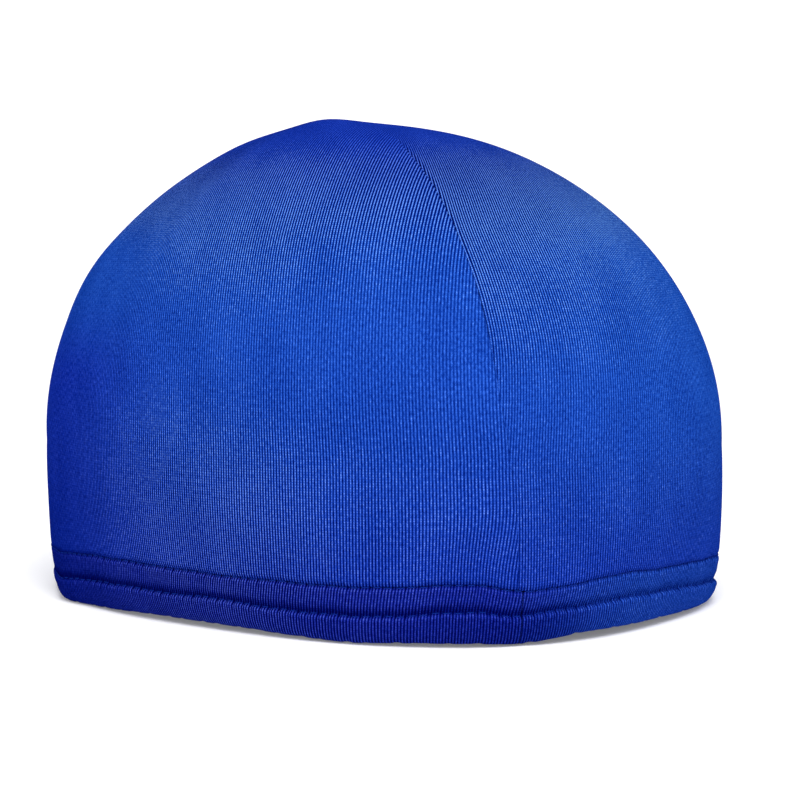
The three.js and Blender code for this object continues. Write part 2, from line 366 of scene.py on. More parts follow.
# Studio, in metres: the camera stands round from the front toward the wearer's right
CAMERA_TURN = 51.7
CAMERA_RISE = 5.0
CAMERA_ROLL = 0.57
CAMERA_DISTANCE = 0.600
FIELD_WIDTH = 0.2155
SENSOR = 36.0
AIM = Vector((0.0, 0.0, 0.045))
FRAME_RIGHT = 0.0067
FRAME_UP = 0.0063
NEAREST_SEEN = 0.01
FARTHEST_SEEN = 20.0
CAP_MIDDLE = Vector((0.0, 0.0, 0.06))
FLOOR_FLAT_RADIUS = 0.9
FLOOR_RIM_RADIUS = 2.2
FLOOR_RIM_HEIGHT = 1.7
FLOOR_SIDES = 96
FLOOR_CURVE_RINGS = 16
FLOOR_COLOUR = (0.9, 0.9, 0.9, 1.0)
FLOOR_GLOW = 0.16
FLOOR_ROUGHNESS = 0.9
FLOOR_SPECULAR = 0.1
WHITE = (1.0, 1.0, 1.0, 1.0)
ROOM_LIGHT = 0.4


# Small sums

def lerp(start, end, share):
    return start + (end - start) * share


def bell(distance, reach):
    return np.exp(-((distance / reach) ** 2))


def ease(low, high, value):
    share = np.clip((value - low) / (high - low), 0.0, 1.0)
    return share * share * (3.0 - 2.0 * share)


def half_turned(angle):
    """The same angle, from -180 to 180."""
    return (angle + 180) % 360 - 180


def unit(vectors):
    return vectors / np.linalg.norm(vectors, axis=-1, keepdims=True)


def spans(points, axis):
    """Distances from point to point along an axis of a grid."""
    return np.linalg.norm(np.diff(points, axis=axis), axis=-1)


def softened(table, softness):
    """A table of places and values as a smooth curve, rounded off over about the softness."""
    places, values = np.array(table, dtype=float).T
    fine = np.linspace(places[0], places[-1], 2001)
    step = fine[1] - fine[0]
    reach = int(3 * softness / step)
    weights = bell(np.arange(-reach, reach + 1) * step, softness)
    padded = np.pad(np.interp(fine, places, values), reach, mode="edge")
    return fine, np.convolve(padded, weights / weights.sum(), mode="valid")


# The bell

def level_at(rise):
    """Plan of the bell at a rise: -1 is the rim, 0 the widest level and 1 the crown."""
    wall = np.minimum(rise, 0.0)
    climb = np.maximum(rise, 0.0) * math.pi / 2
    lift = np.sin(climb)
    scale = np.maximum(np.cos(climb), TINY) ** DOME_SLIMNESS
    height = np.where(rise <= 0, WIDEST_LEVEL * (1 + wall), lerp(WIDEST_LEVEL, HEIGHT, lift))
    strip_share = np.maximum(0.0, 1 - height / LOWER_ROW)
    inset = RIM_INSET * wall**2 + STRIP_TURN_IN * strip_share**2
    half_length = LENGTH / 2 * scale - inset
    half_width = WIDTH / 2 * scale - inset
    centre_y = CROWN_BACKSET * lift**CROWN_BACKSET_POWER
    power = lerp(PLAN_POWER_DOME, PLAN_POWER_RIM, -wall)
    return height, half_length, half_width, centre_y, power


def bell_point(angle, rise):
    """Point of the smooth bell at an angle from the front and a rise."""
    height, half_length, half_width, centre_y, power = level_at(rise)
    turn = np.radians(angle)
    along, across = -np.cos(turn), np.sin(turn)
    reach = (np.abs(along / half_length) ** power + np.abs(across / half_width) ** power) ** (-1 / power)
    return np.stack([reach * across, centre_y + reach * along, height + 0 * reach], axis=-1)


def bell_normal(angle, rise):
    """Direction straight out of the bell."""
    round_it = bell_point(angle + ANGLE_STEP, rise) - bell_point(angle - ANGLE_STEP, rise)
    up_it = bell_point(angle, rise + RISE_STEP) - bell_point(angle, rise - RISE_STEP)
    return unit(np.cross(round_it, up_it))


def level_normal(angle, rise):
    """The same, laid level."""
    return unit(bell_normal(angle, rise) * np.array([1.0, 1.0, 0.0]))


def outline_table():
    """Angles round the widest level, and the distance walked along it, zero at the front."""
    angles = np.linspace(-OUTLINE_REACH, OUTLINE_REACH, OUTLINE_STEPS)
    points = bell_point(angles, np.zeros_like(angles))
    walked = np.concatenate([[0.0], np.cumsum(spans(points, 0))])
    return angles, points, walked - np.interp(0.0, angles, walked)


OUTLINE_ANGLES, OUTLINE_POINTS, OUTLINE_WALKED = outline_table()
CIRCUMFERENCE = np.interp(180.0, OUTLINE_ANGLES, OUTLINE_WALKED) * 2
STITCH_COUNT = round(CIRCUMFERENCE / STITCH_LENGTH)

SEAM_CURVE = softened(SEAM_PATH, SEAM_PATH_SOFTNESS)
ROW_CURVE = softened(ROW_WANDER, WANDER_SOFTNESS)
LOWER_CURVE = softened(LOWER_ROW_EXTRA, WANDER_SOFTNESS)
EDGE_CURVE = softened(EDGE_WANDER, WANDER_SOFTNESS)
FIRMNESS_CURVE = softened(ROW_FIRMNESS, 3.0)
SLANT_CURVE = softened(HEM_SLANT, 5.0)
BOLDNESS_CURVE = softened(RIB_BOLDNESS, 3.0)
FRONT_BOLDNESS_CURVE = softened(FRONT_RIB_BOLDNESS, 3.0)
FLATTENING_CURVE = softened(RIB_FLATTENING, 6.0)
STRETCH_AND_PAINTED_LIGHT_CURVE = softened(STRETCH_AND_PAINTED_LIGHT, 4.0)
STRETCH_AND_PAINTED_LIGHT_ROUND_CURVE = softened(STRETCH_AND_PAINTED_LIGHT_ROUND, 6.0)
ROW_PAINTED_SHADE_CURVE = softened(ROW_PAINTED_SHADE_BY_ANGLE, 4.0)
STRIP_SHADE_CURVE = softened(STRIP_SHADE, 3.0)
DRIFT_CURVES = {name: softened(panel["drift"], 5.0) for name, panel in PANELS.items()}


def walked_at(angle):
    return np.interp(angle, OUTLINE_ANGLES, OUTLINE_WALKED)


def angle_at(walked):
    return np.interp(walked, OUTLINE_WALKED, OUTLINE_ANGLES)


def seam_angle(seam, height):
    """Angle of a seam at a height. Seams 1 and -1 are at the front, 2, -2 and 3 at the back."""
    spread = np.interp(height, *SEAM_CURVE)
    return {1: spread, -1: -spread, 2: 180 - spread, -2: spread - 180, 3: 180 + spread}[seam]


# Relief and wander of the cloth

def needle(walked):
    """1 where a needle went through, falling to 0 between the stitches."""
    share = walked / CIRCUMFERENCE * STITCH_COUNT
    return bell((share - np.round(share)) * STITCH_LENGTH, NEEDLE_REACH)


def waves(walked, table):
    """Sum of waves round the cap, each given as count, height and phase."""
    turn = walked / CIRCUMFERENCE * 2 * math.pi
    return sum(size * np.sin(count * turn + phase) for count, size, phase in table)


def lift_at(angle, walked, height):
    """How far the cloth stands above its plain height: the front arch, wandering rows and a rippled edge."""
    turned = half_turned(angle)
    arch_share = np.maximum(0.0, 1 - (turned / ARCH_HALF_ANGLE) ** 2)
    arch = FRONT_ARCH_RISE * arch_share**2 * np.maximum(0.0, 1 - height / FRONT_ARCH_FADE_HEIGHT)
    upper = np.interp(turned, *ROW_CURVE) + waves(walked, ROW_WAVES)
    lower = upper + np.interp(turned, *LOWER_CURVE)
    edge = np.interp(turned, *EDGE_CURVE) + np.maximum(waves(walked, EDGE_WAVES), 0.0)
    strip = lerp(edge, lower, ease(0.0, LOWER_ROW, height))
    wander = lerp(strip, upper, ease(LOWER_ROW, UPPER_ROW, height))
    return arch + wander * (1 - ease(*WANDER_FADE_HEIGHTS, height))


def row_offset(row, pull, height):
    """How far above a stitch row a place is, as the row scallops between its needle points."""
    return height - row["height"] - SCALLOP * (0.5 - pull)


def row_relief(angle, walked, height):
    """Stitch rows: a pinch along each, deeper at every needle point, and small puffs under it."""
    pull = needle(walked)
    firmness = np.interp(half_turned(angle), *FIRMNESS_CURVE)
    relief = 0.0 * height
    for row in ROWS:
        offset = row_offset(row, pull, height)
        reach = np.where(offset > 0, row["above"], row["below"])
        depth = row["depth"] * firmness * (1 - row["dash"] * (1 - pull))
        relief = relief - depth * bell(offset, reach)
        relief = relief + row["puff"] * firmness * (1 - pull) * bell(offset + PUFF_DROP, PUFF_REACH)
    swell = STRIP_SWELL * np.sin(math.pi * np.clip(height / LOWER_ROW, 0.0, 1.0))
    return relief + swell


def form_relief(points):
    """Broad soft forms, and a faint unevenness of the stretched cloth."""
    relief = 0.0 * points[..., 0]
    for angle, height, rise, reach in SOFT_FORMS:
        level = (height - WIDEST_LEVEL) / (HEIGHT - WIDEST_LEVEL)
        form_rise = height / WIDEST_LEVEL - 1 if level <= 0 else math.asin(min(level, 1.0)) * 2 / math.pi
        centre = bell_point(np.array(angle), np.array(form_rise))
        relief = relief + rise * bell(np.linalg.norm(points - centre, axis=-1), reach)
    x, y, z = points[..., 0], points[..., 1], points[..., 2]
    broad = np.sin(x / 11.0 + 1.3 * np.sin(z / 17.0)) * np.sin(y / 13.0 + z / 23.0)
    small = np.sin(y / 5.3 + 2.0 * np.sin(x / 19.0)) * np.sin(z / 9.0 + x / 7.0)
    return relief + BROAD_UNEVENNESS * broad + SMALL_UNEVENNESS * small


# What the knit's look varies with

def boldness_at(angle, height, curve=BOLDNESS_CURVE):
    """How bold the ribs are."""
    left = np.interp(half_turned(angle), *FLATTENING_CURVE)
    return np.interp(height, *curve) * lerp(left, 1.0, ease(*FLATTENING_FADE_HEIGHTS, height))


def stretch_and_painted_light_at(angle, height):
    """How tight the cloth is stretched, together with painted light and shade, from 0 to 1."""
    share = np.interp(half_turned(angle), *STRETCH_AND_PAINTED_LIGHT_ROUND_CURVE)
    evened = lerp(share, 1.0, ease(*STRETCH_AND_PAINTED_LIGHT_EVENS_OUT, height))
    share = np.where(share < 1.0, evened, share)
    return np.clip(np.interp(height, *STRETCH_AND_PAINTED_LIGHT_CURVE) * share, 0.0, 1.0)


def hem_stretch_and_painted_light_at(angle):
    """The same for the hem."""
    turned = half_turned(angle)
    return HEM_STRETCH_AND_PAINTED_LIGHT * ease(*HEM_STRETCH_AND_LIGHT_COMES_IN, turned) * (1 - ease(*HEM_STRETCH_AND_LIGHT_DIES_AWAY, turned))


def painted_shade_and_highlight_at(angle, walked, height):
    """Painted shade along the stitch rows, on the strip under them and at the back corner, less a painted
    highlight on the puffs.
    """
    pull = needle(walked)
    turned = half_turned(angle)
    painted_shade_and_highlight = 0.0 * height
    for row in ROWS:
        offset = row_offset(row, pull, height)
        reach = np.where(offset > 0, row["above"] * ROW_PAINTED_SHADE_ABOVE, row["below"] * ROW_PAINTED_SHADE_BELOW)
        puff = PUFF_PAINTED_HIGHLIGHT * (1 - pull) * bell(offset + PUFF_PAINTED_HIGHLIGHT_DROP, PUFF_PAINTED_HIGHLIGHT_REACH)
        painted_shade_and_highlight = painted_shade_and_highlight + row["shade"] * bell(offset, reach) - puff
    strip = np.interp(turned, *STRIP_SHADE_CURVE) * (1 - ease(*STRIP_SHADE_HEIGHTS, height))
    near_corner = bell(turned - CORNER_ANGLE, CORNER_REACH) * (1 - ease(*CORNER_HEIGHTS, height))
    return painted_shade_and_highlight * np.interp(turned, *ROW_PAINTED_SHADE_CURVE) + strip + CORNER_SHADE * near_corner


def fan_walked(fan, centre_angle, near, plan):
    """Place along the widest level that the rib through each plan point comes down to, from a far point."""
    centre = math.radians(centre_angle)
    outward = np.array([math.sin(centre), -math.cos(centre)])
    sideways = np.array([math.cos(centre), math.sin(centre)])

    def bearing(places):
        off = places - np.array(fan)
        return np.arctan2(off @ sideways, off @ outward)

    seen = np.maximum.accumulate(bearing(OUTLINE_POINTS[near][:, :2]))
    return np.interp(bearing(plan), seen, OUTLINE_WALKED[near])


def rib_count(name, angle, points, rise):
    """Number of ribs from the panel's first seam, straight up on the walls and fanned over the dome."""
    panel = PANELS[name]
    first, last = (seam_angle(seam, 0.0) for seam in panel["seams"])
    middle = (first + last) / 2
    near = (OUTLINE_ANGLES > first - FAN_MARGIN) & (OUTLINE_ANGLES < last + FAN_MARGIN)
    front_fan, back_fan = (fan_walked(fan, middle, near, points[..., :2]) for fan in panel["fans"])
    back_share = ease(*BACK_FAN_ANGLES, np.abs(half_turned(angle)))
    walked = np.where(rise > 0, lerp(front_fan, back_fan, back_share), walked_at(angle))

    start, end = walked_at(first), walked_at(last)
    share = np.clip((walked - start) / (end - start), -SPACING_MARGIN, 1 + SPACING_MARGIN)
    mean_spacing = lerp(*panel["spacing"], share / 2)
    drift = np.interp(points[..., 2], *DRIFT_CURVES[name])
    to_front = end - walked if panel["gather"] > 0 else walked - start
    gather = panel["gather"] * bell(to_front, GATHER_REACH) * (1 - ease(*GATHER_HEIGHTS, points[..., 2]))
    return (walked - start + drift + gather) / mean_spacing


# Meshes

def grid_faces(rows, columns, ring=False):
    """Quads of a grid, facing out when its rows run up and its columns run round from the front to +X."""
    last = columns if ring else columns - 1
    row, column = np.meshgrid(np.arange(rows - 1), np.arange(last), indexing="ij")
    after = (column + 1) % columns
    low, high = row * columns, (row + 1) * columns
    return np.stack([low + column, low + after, high + after, high + column], axis=-1).reshape(-1, 4)


def tube_faces(rings, sides):
    """Quads of a tube that is drawn ring by ring."""
    return grid_faces(rings, sides, ring=True)[:, [0, 3, 2, 1]]


def joined_tubes(tubes):
    """Points and faces of many tubes with the same rings, given as tube, ring, side and place."""
    count, rings, sides = tubes.shape[:3]
    starts = np.arange(count) * rings * sides
    faces = tube_faces(rings, sides)[None, :, :] + starts[:, None, None]
    return tubes.reshape(-1, 3), faces.reshape(-1, 4)


def make_piece(name, points, faces, rib_places, knit, material):
    """A mesh piece in metres, with its knit coordinates and the knit's other values at every point."""
    mesh = bpy.data.meshes.new(name)
    mesh.from_pydata((points * METRES).tolist(), [], faces.tolist())
    layer = mesh.uv_layers.new(name="knit")
    layer.data.foreach_set("uv", rib_places[faces.reshape(-1)].astype(np.float32).reshape(-1))
    for title, values in knit.items():
        attribute = mesh.attributes.new(title, "FLOAT", "POINT")
        attribute.data.foreach_set("value", (np.zeros(len(points)) + values).astype(np.float32))
    mesh.polygons.foreach_set("use_smooth", np.ones(len(mesh.polygons), dtype=bool))
    mesh.materials.append(material)
    piece = bpy.data.objects.new(name, mesh)
    bpy.context.scene.collection.objects.link(piece)
    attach(piece, "root")
    return piece


def edge_crowded(count, width):
    """Shares from 0 to 1 across a panel, close together near both seams."""
    near = np.array(NEAR_SEAM) / width
    inside = np.linspace(EVEN_FROM / width, 1 - EVEN_FROM / width, count - 2 * len(near))
    return np.concatenate([near, inside, 1 - near[::-1]])


def panel_grid(panel):
    """Angles and rises of a panel's points, in rows from the upper stitch row to the crown."""
    foot = (UPPER_ROW + ROW_CLEARANCE) / WIDEST_LEVEL - 1
    steps = np.linspace(0.0, 1.0, WALL_ROWS)
    wall = foot * (1 - (1 - 1 / WALL_ROWS) * steps * lerp(WALL_CROWDING, 1.0, steps))
    rises = np.concatenate([wall, np.linspace(0.0, TIP_RISE, DOME_ROWS)])
    first, last = (seam_angle(seam, level_at(rises)[0]) for seam in panel["seams"])
    shares = edge_crowded(panel["columns"], walked_at(last[0]) - walked_at(first[0]))
    angle = lerp(first[:, None], last[:, None], shares[None, :])
    return angle, np.repeat(rises[:, None], len(shares), axis=1)


def seam_relief(smooth):
    """How far a panel's cloth is pulled in near its seams: a broad pull and a narrow groove."""
    height = smooth[..., 2]
    to_first = np.linalg.norm(smooth - smooth[:, :1], axis=-1)
    to_last = np.linalg.norm(smooth - smooth[:, -1:], axis=-1)
    to_seam = np.minimum(to_first, to_last)
    pull = lerp(SEAM_PULL_LOW, SEAM_PULL_HIGH, ease(*SEAM_PULL_HEIGHTS, height))
    groove = lerp(SEAM_GROOVE_LOW, SEAM_GROOVE_HIGH, ease(*SEAM_GROOVE_HEIGHTS, height))
    depth = pull * bell(to_seam, SEAM_PULL_REACH) + groove * bell(to_seam, SEAM_GROOVE_REACH)
    return -depth * (1 - ease(*SEAM_FADE_HEIGHTS, height))


def two_sided_faces(rows, columns):
    """Faces of a closed sheet: an outer grid, an inner one after it and the narrow edges between them."""
    outer = grid_faces(rows, columns)
    count = rows * columns
    index = np.arange(count).reshape(rows, columns)
    rim = np.concatenate([index[0, :], index[1:, -1], index[-1, -2::-1], index[-2:0:-1, 0]])
    after = np.roll(rim, -1)
    edges = np.stack([after, rim, rim + count, after + count], axis=-1)
    return np.concatenate([outer, outer[:, ::-1] + count, edges])


def panel_cloth(name, material):
    """One panel as a closed sheet, with its widest arc, its climb and its area as it is stretched."""
    angle, rise = panel_grid(PANELS[name])
    smooth = bell_point(angle, rise)
    normal = bell_normal(angle, rise)
    height = smooth[..., 2]
    walked = walked_at(angle)
    relief = row_relief(angle, walked, height) + form_relief(smooth) + seam_relief(smooth)
    up = np.zeros_like(smooth)
    up[..., 2] = lift_at(angle, walked, height)
    outer = smooth + normal * relief[..., None] + up
    inner = outer - normal * CLOTH_THICKNESS
    points = np.concatenate([outer.reshape(-1, 3), inner.reshape(-1, 3)])

    across, climb = spans(smooth, 1), spans(smooth, 0)
    climbed = np.cumsum(np.concatenate([np.zeros((1, climb.shape[1])), climb]), axis=0) + UPPER_ROW
    ribs = rib_count(name, angle, smooth, rise)
    places = np.stack([ribs, climbed], axis=-1).reshape(-1, 2)
    boldness = FRONT_BOLDNESS_CURVE if name == "front_panel" else BOLDNESS_CURVE
    # The knit's values: its stretch together with painted light, the boldness of the ribs, and painted shade
    # and highlight
    knit = {
        "stretch_and_painted_light": np.tile(stretch_and_painted_light_at(angle, height).reshape(-1), 2),
        "boldness": np.tile(boldness_at(angle, height, boldness).reshape(-1), 2),
        "painted_shade_and_highlight": np.tile(painted_shade_and_highlight_at(angle, walked, height).reshape(-1), 2),
    }
    faces = two_sided_faces(*rise.shape)
    piece = make_piece(f"{name}_cloth", points, faces, np.tile(places, (2, 1)), knit, material)

    row_climb = climb.mean(axis=1)
    area = (across[:-1].sum(axis=1) * row_climb).sum()
    return piece, across.sum(axis=1).max(), row_climb.sum(), area


def hem_section():
    """Section of the folded hem: height, depth under the outer face and share of the outer face's relief."""
    section = []
    for top, bottom, count in OUTER_BANDS:
        section += [(height, 0.0, 1.0) for height in np.linspace(top, bottom, count)]
    section += FOLD
    section += [(height, HEM_DEPTH, INNER_SHARE) for height in INNER_FACE_HEIGHTS]
    section += TURNED_EDGE
    section += [(height, HEM_DEPTH - CLOTH_THICKNESS, INNER_BACK_SHARE) for height in INNER_BACK_HEIGHTS]
    section.append(FOLD_INSIDE)
    section += [(height, CLOTH_THICKNESS, 1.0) for height in OUTER_BACK_HEIGHTS]
    section.append(OUTER_BACK_TOP)
    return np.array(section)


def hem_surface(angle, height, depth, share):
    """Places of hem points: under the bell's face by depth, and moved with the rows by their share."""
    rise = height / WIDEST_LEVEL - 1
    smooth = bell_point(angle, rise)
    walked = walked_at(angle)
    seams = [seam_angle(seam, 0.0) for seam in (1, -1, 2, -2)]
    to_seam = np.min([np.abs(walked - walked_at(seam)) for seam in seams], axis=0)
    pull = SEAM_PULL_LOW * bell(to_seam, SEAM_PULL_REACH) + HEM_GROOVE * bell(to_seam, HEM_GROOVE_REACH)
    relief = (row_relief(angle, walked, height) - pull) * share + form_relief(smooth)
    up = np.zeros_like(smooth)
    up[..., 2] = lift_at(angle, walked, height)
    return smooth + level_normal(angle, rise) * (relief - depth)[..., None] + up


def hem_ribs(angle):
    """Number of ribs at an angle of the hem, counted on from the panel above it."""
    for name, panel in PANELS.items():
        first, last = (seam_angle(seam, 0.0) for seam in panel["seams"])
        for turn in (-360, 0, 360):
            if first <= angle + turn < last:
                row_place = np.array([[0.0, 0.0, UPPER_ROW]])
                return rib_count(name, np.array([angle + turn]), row_place, np.array([-1.0]))[0]
    return 0.0


def hem_cloth(material):
    """The turned-up hem as one folded ring of cloth."""
    section = hem_section()
    rows, columns = len(section), HEM_COLUMNS_PER_STITCH * STITCH_COUNT
    angles = angle_at((np.arange(columns) / columns - 0.5) * CIRCUMFERENCE)
    angle = np.repeat(angles[None, :], rows, axis=0)
    height, depth, share = (np.repeat(section[:, i : i + 1], columns, axis=1) for i in range(3))
    points = hem_surface(angle, height, depth, share)

    ribs = np.array([hem_ribs(one) for one in angles])
    drop = 1 - np.clip((height - LOWER_ROW) / (UPPER_ROW - LOWER_ROW), 0.0, 1.0)
    slant = np.interp(half_turned(angle), *SLANT_CURVE) * drop
    drawn = np.concatenate([np.zeros((1, columns)), spans(points, 0)])
    along = UPPER_ROW - np.cumsum(drawn, axis=0)
    places = np.stack([ribs[None, :] + slant, along], axis=-1).reshape(-1, 2)
    # The knit's values: its stretch together with painted light, the boldness of the ribs, and painted shade
    # and highlight
    knit = {
        "stretch_and_painted_light": hem_stretch_and_painted_light_at(angle).reshape(-1),
        "boldness": boldness_at(angle, height).reshape(-1),
        "painted_shade_and_highlight": (painted_shade_and_highlight_at(angle, walked_at(angle), height) * share).reshape(-1),
    }
    faces = grid_faces(rows + 1, columns, ring=True)[:, ::-1] % (rows * columns)
    return make_piece("hem_cloth", points.reshape(-1, 3), faces, places, knit, material)


def stitch_tubes(row, depth, out):
    """Thread of one stitch row on one face of the hem: a short bridge between every two needle points."""
    travel = np.linspace(-0.5, 0.5, THREAD_RINGS)
    centres = (np.arange(STITCH_COUNT) + 0.5) / STITCH_COUNT * CIRCUMFERENCE - CIRCUMFERENCE / 2
    angle = angle_at(centres[:, None] + travel[None, :] * STITCH_LENGTH * THREAD_SPAN)
    wander = SEEDED.normal(0.0, THREAD_WANDER, centres.shape)
    height = row["height"] + np.repeat(wander[:, None], THREAD_RINGS, axis=1)
    share = np.full_like(angle, 1.0 if out > 0 else INNER_SHARE)
    spine = hem_surface(angle, height, np.full_like(angle, depth), share)
    outward = level_normal(angle, height / WIDEST_LEVEL - 1) * out

    bulge = np.sqrt(np.maximum(0.0, 1 - (2 * travel) ** 2))
    spine = spine + outward * (THREAD_RADIUS * (bulge[None, :, None] * THREAD_ARCH - THREAD_SINK))
    girth = THREAD_RADIUS * np.maximum(THREAD_TIP, np.minimum(1.0, bulge * THREAD_FULLNESS))
    upward = np.zeros_like(outward)
    upward[..., 2] = out
    turn = np.arange(THREAD_SIDES) / THREAD_SIDES * 2 * math.pi
    across = outward[:, :, None, :] * (np.cos(turn) * girth[:, None])[None, :, :, None]
    rising = upward[:, :, None, :] * (np.sin(turn) * girth[:, None])[None, :, :, None]
    return spine[:, :, None, :] + across + rising


def stitch_rows(material):
    """Thread of both stitch rows, on both faces of the hem."""
    sides = ((0.0, 1.0), (HEM_DEPTH, -1.0))
    tubes = [stitch_tubes(row, depth, out) for row in ROWS for depth, out in sides]
    points, faces = joined_tubes(np.concatenate(tubes))
    return make_piece("hem_stitches", points, faces, np.zeros((len(points), 2)), {}, material)


def allowance_tube(seam, rises):
    """A slim ridge behind one seam."""
    heights = level_at(rises)[0]
    angle = seam_angle(seam, heights)
    base = bell_point(angle, rises)
    normal = bell_normal(angle, rises)
    side = unit(bell_point(angle + ANGLE_STEP, rises) - bell_point(angle - ANGLE_STEP, rises))
    sunk = SEAM_PULL_LOW + SEAM_GROOVE_HIGH + CLOTH_THICKNESS + ALLOWANCE_HALF_DEPTH + ALLOWANCE_CLEARANCE
    spine = base + normal * (form_relief(base) - sunk)[:, None]
    spine[:, 2] += lift_at(angle, walked_at(angle), heights)
    turn = np.linspace(0.0, 2 * math.pi, ALLOWANCE_SIDES, endpoint=False)
    across = side[:, None, :] * (np.cos(turn) * ALLOWANCE_HALF_WIDTH)[None, :, None]
    deep = normal[:, None, :] * (np.sin(turn) * ALLOWANCE_HALF_DEPTH)[None, :, None]
    return spine[:, None, :] + across + deep


def seam_ridges(material):
    """The seam allowances, from the hem to the crown."""
    wall = np.linspace(ALLOWANCE_FOOT / WIDEST_LEVEL - 1, 0.0, ALLOWANCE_WALL_ROWS, endpoint=False)
    rises = np.concatenate([wall, np.linspace(0.0, ALLOWANCE_TOP_RISE, ALLOWANCE_DOME_ROWS)])
    points, faces = joined_tubes(np.stack([allowance_tube(seam, rises) for seam in (1, -1, 2, -2)]))
    # Full stretch and painted light, middling ribs and no painted shade or highlight
    knit = {"stretch_and_painted_light": 1.0, "boldness": 0.5, "painted_shade_and_highlight": 0.0}
    return make_piece("seam_allowances", points, faces, points[:, [0, 2]], knit, material)


# Materials

class Graph:
    """A material's nodes, with short calls for sums and links."""

    def __init__(self, name):
        self.material = bpy.data.materials.new(name)
        self.material.use_nodes = True
        self.nodes = self.material.node_tree.nodes
        self.links = self.material.node_tree.links
        self.shader = self.nodes["Principled BSDF"]

    def node(self, kind, **settings):
        made = self.nodes.new(kind)
        for key, value in settings.items():
            setattr(made, key, value)
        return made

    def feed(self, socket, value):
        if isinstance(value, bpy.types.NodeSocket):
            self.links.new(value, socket)
        else:
            socket.default_value = value

    def shade(self, socket_name, value):
        """Sets or links one of the shader's own sockets."""
        self.feed(self.shader.inputs[socket_name], value)

    def attribute(self, name):
        return self.node("ShaderNodeAttribute", attribute_name=name).outputs["Fac"]

    def sum(self, operation, *values):
        made = self.node("ShaderNodeMath", operation=operation)
        for socket, value in zip(made.inputs, values):
            self.feed(socket, value)
        return made.outputs[0]

    def mix(self, share, low, high):
        made = self.node("ShaderNodeMix", data_type="RGBA")
        self.feed(made.inputs["Factor"], share)
        self.feed(made.inputs[6], low)
        self.feed(made.inputs[7], high)
        return made.outputs[2]

    def tones(self, share, stops):
        """Colour at a share along a row of stops, each given as place and colour."""
        made = self.node("ShaderNodeValToRGB")
        band = made.color_ramp.elements
        while len(band) < len(stops):
            band.new(1.0)
        for stop, (place, colour) in zip(band, stops):
            stop.position = place
            stop.color = (*colour, 1.0)
        self.feed(made.inputs[0], share)
        return made.outputs[0]

    def ramp(self, value, low, high, new_low, new_high):
        made = self.node("ShaderNodeMapRange")
        for socket, item in zip(made.inputs, (value, low, high, new_low, new_high)):
            self.feed(socket, item)
        return made.outputs[0]

    def noise(self, x, y, scale, detail):
        """Noise over a plane, with a scale for each way."""
        place = self.node("ShaderNodeCombineXYZ")
        self.feed(place.inputs[0], self.sum("MULTIPLY", x, scale[0]))
        self.feed(place.inputs[1], self.sum("MULTIPLY", y, scale[1]))
        made = self.node("ShaderNodeTexNoise")
        self.feed(made.inputs["Vector"], place.outputs[0])
        self.feed(made.inputs["Scale"], 1.0)
        self.feed(made.inputs["Detail"], detail)
        return made.outputs["Fac"]


def knit_material(name, tight_and_lit_tones, loose_and_shaded_tones):
    """Fine jersey knit: ribs along v, a V-shaped loop every LOOP_HEIGHT, lighter where it is stretched and
    where painted light falls.
    """
    graph = Graph(name)
    parts = graph.node("ShaderNodeSeparateXYZ")
    graph.feed(parts.inputs[0], graph.node("ShaderNodeUVMap", uv_map="knit").outputs[0])
    rib, climb = parts.outputs[0], parts.outputs[1]
    stretch_and_painted_light = graph.attribute("stretch_and_painted_light")
    boldness = graph.attribute("boldness")
    painted_shade_and_highlight = graph.attribute("painted_shade_and_highlight")

    # Ribs and their loops
    wander = graph.noise(rib, climb, RIB_WANDER_SCALE, 2.0)
    rib_here = graph.sum("ADD", rib, graph.ramp(wander, 0.0, 1.0, -RIB_WANDER, RIB_WANDER))
    across = graph.sum("PINGPONG", rib_here, 0.5)
    loop_turn = graph.sum("ADD", graph.sum("DIVIDE", climb, LOOP_HEIGHT), across)
    loop = graph.sum("SINE", graph.sum("MULTIPLY", loop_turn, 2 * math.pi))
    loop_share = graph.ramp(loop, -1.0, 1.0, LOOP_DIMPLE, 1.0)
    crest = graph.sum("MULTIPLY", graph.ramp(across, *CREST_EDGES, 0.0, 1.0), loop_share)
    height = graph.sum("MULTIPLY", graph.sum("MULTIPLY", across, 2.0), loop_share)

    # Colour: painted shade in the grooves and painted highlights on the crests of the ribs, streaks along
    # them, and broad faint patches
    streak = graph.sum("SUBTRACT", graph.noise(rib, climb, STREAK_SCALE, 2.0), 0.5)
    streak_strength = graph.ramp(boldness, *STREAK_BOLDNESS, *STREAK_STRENGTH)
    mottle = graph.ramp(graph.noise(rib, climb, MOTTLE_SCALE, 3.0), *MOTTLE_RANGE, -MOTTLE, MOTTLE)
    rib_painted_shade_and_highlight = graph.sum("MULTIPLY", graph.sum("SUBTRACT", crest, 0.5), boldness)
    shown = graph.sum("ADD", graph.sum("ADD", rib_painted_shade_and_highlight, 0.5), graph.sum("MULTIPLY", streak, streak_strength))
    # Painted shade along the stitch rows, on the strip and at the back corner darkens the colour; the painted
    # highlight on the puffs lightens it
    shown = graph.sum("SUBTRACT", graph.sum("ADD", shown, mottle), painted_shade_and_highlight)
    # Tight, lighter and greener tones where the cloth is stretched and painted light falls, loose, darker
    # ones elsewhere
    colour = graph.mix(stretch_and_painted_light, graph.tones(shown, loose_and_shaded_tones), graph.tones(shown, tight_and_lit_tones))
    graph.shade("Base Color", colour)

    bump = graph.node("ShaderNodeBump")
    graph.feed(bump.inputs["Height"], graph.sum("MULTIPLY", height, boldness))
    graph.feed(bump.inputs["Distance"], RIB_BUMP)
    graph.feed(bump.inputs["Strength"], 1.0)
    graph.shade("Normal", bump.outputs[0])
    graph.shade("Roughness", graph.ramp(height, 0.0, 1.0, GROOVE_ROUGHNESS, CREST_ROUGHNESS))
    graph.shade("Specular IOR Level", 0.0)
    return graph.material


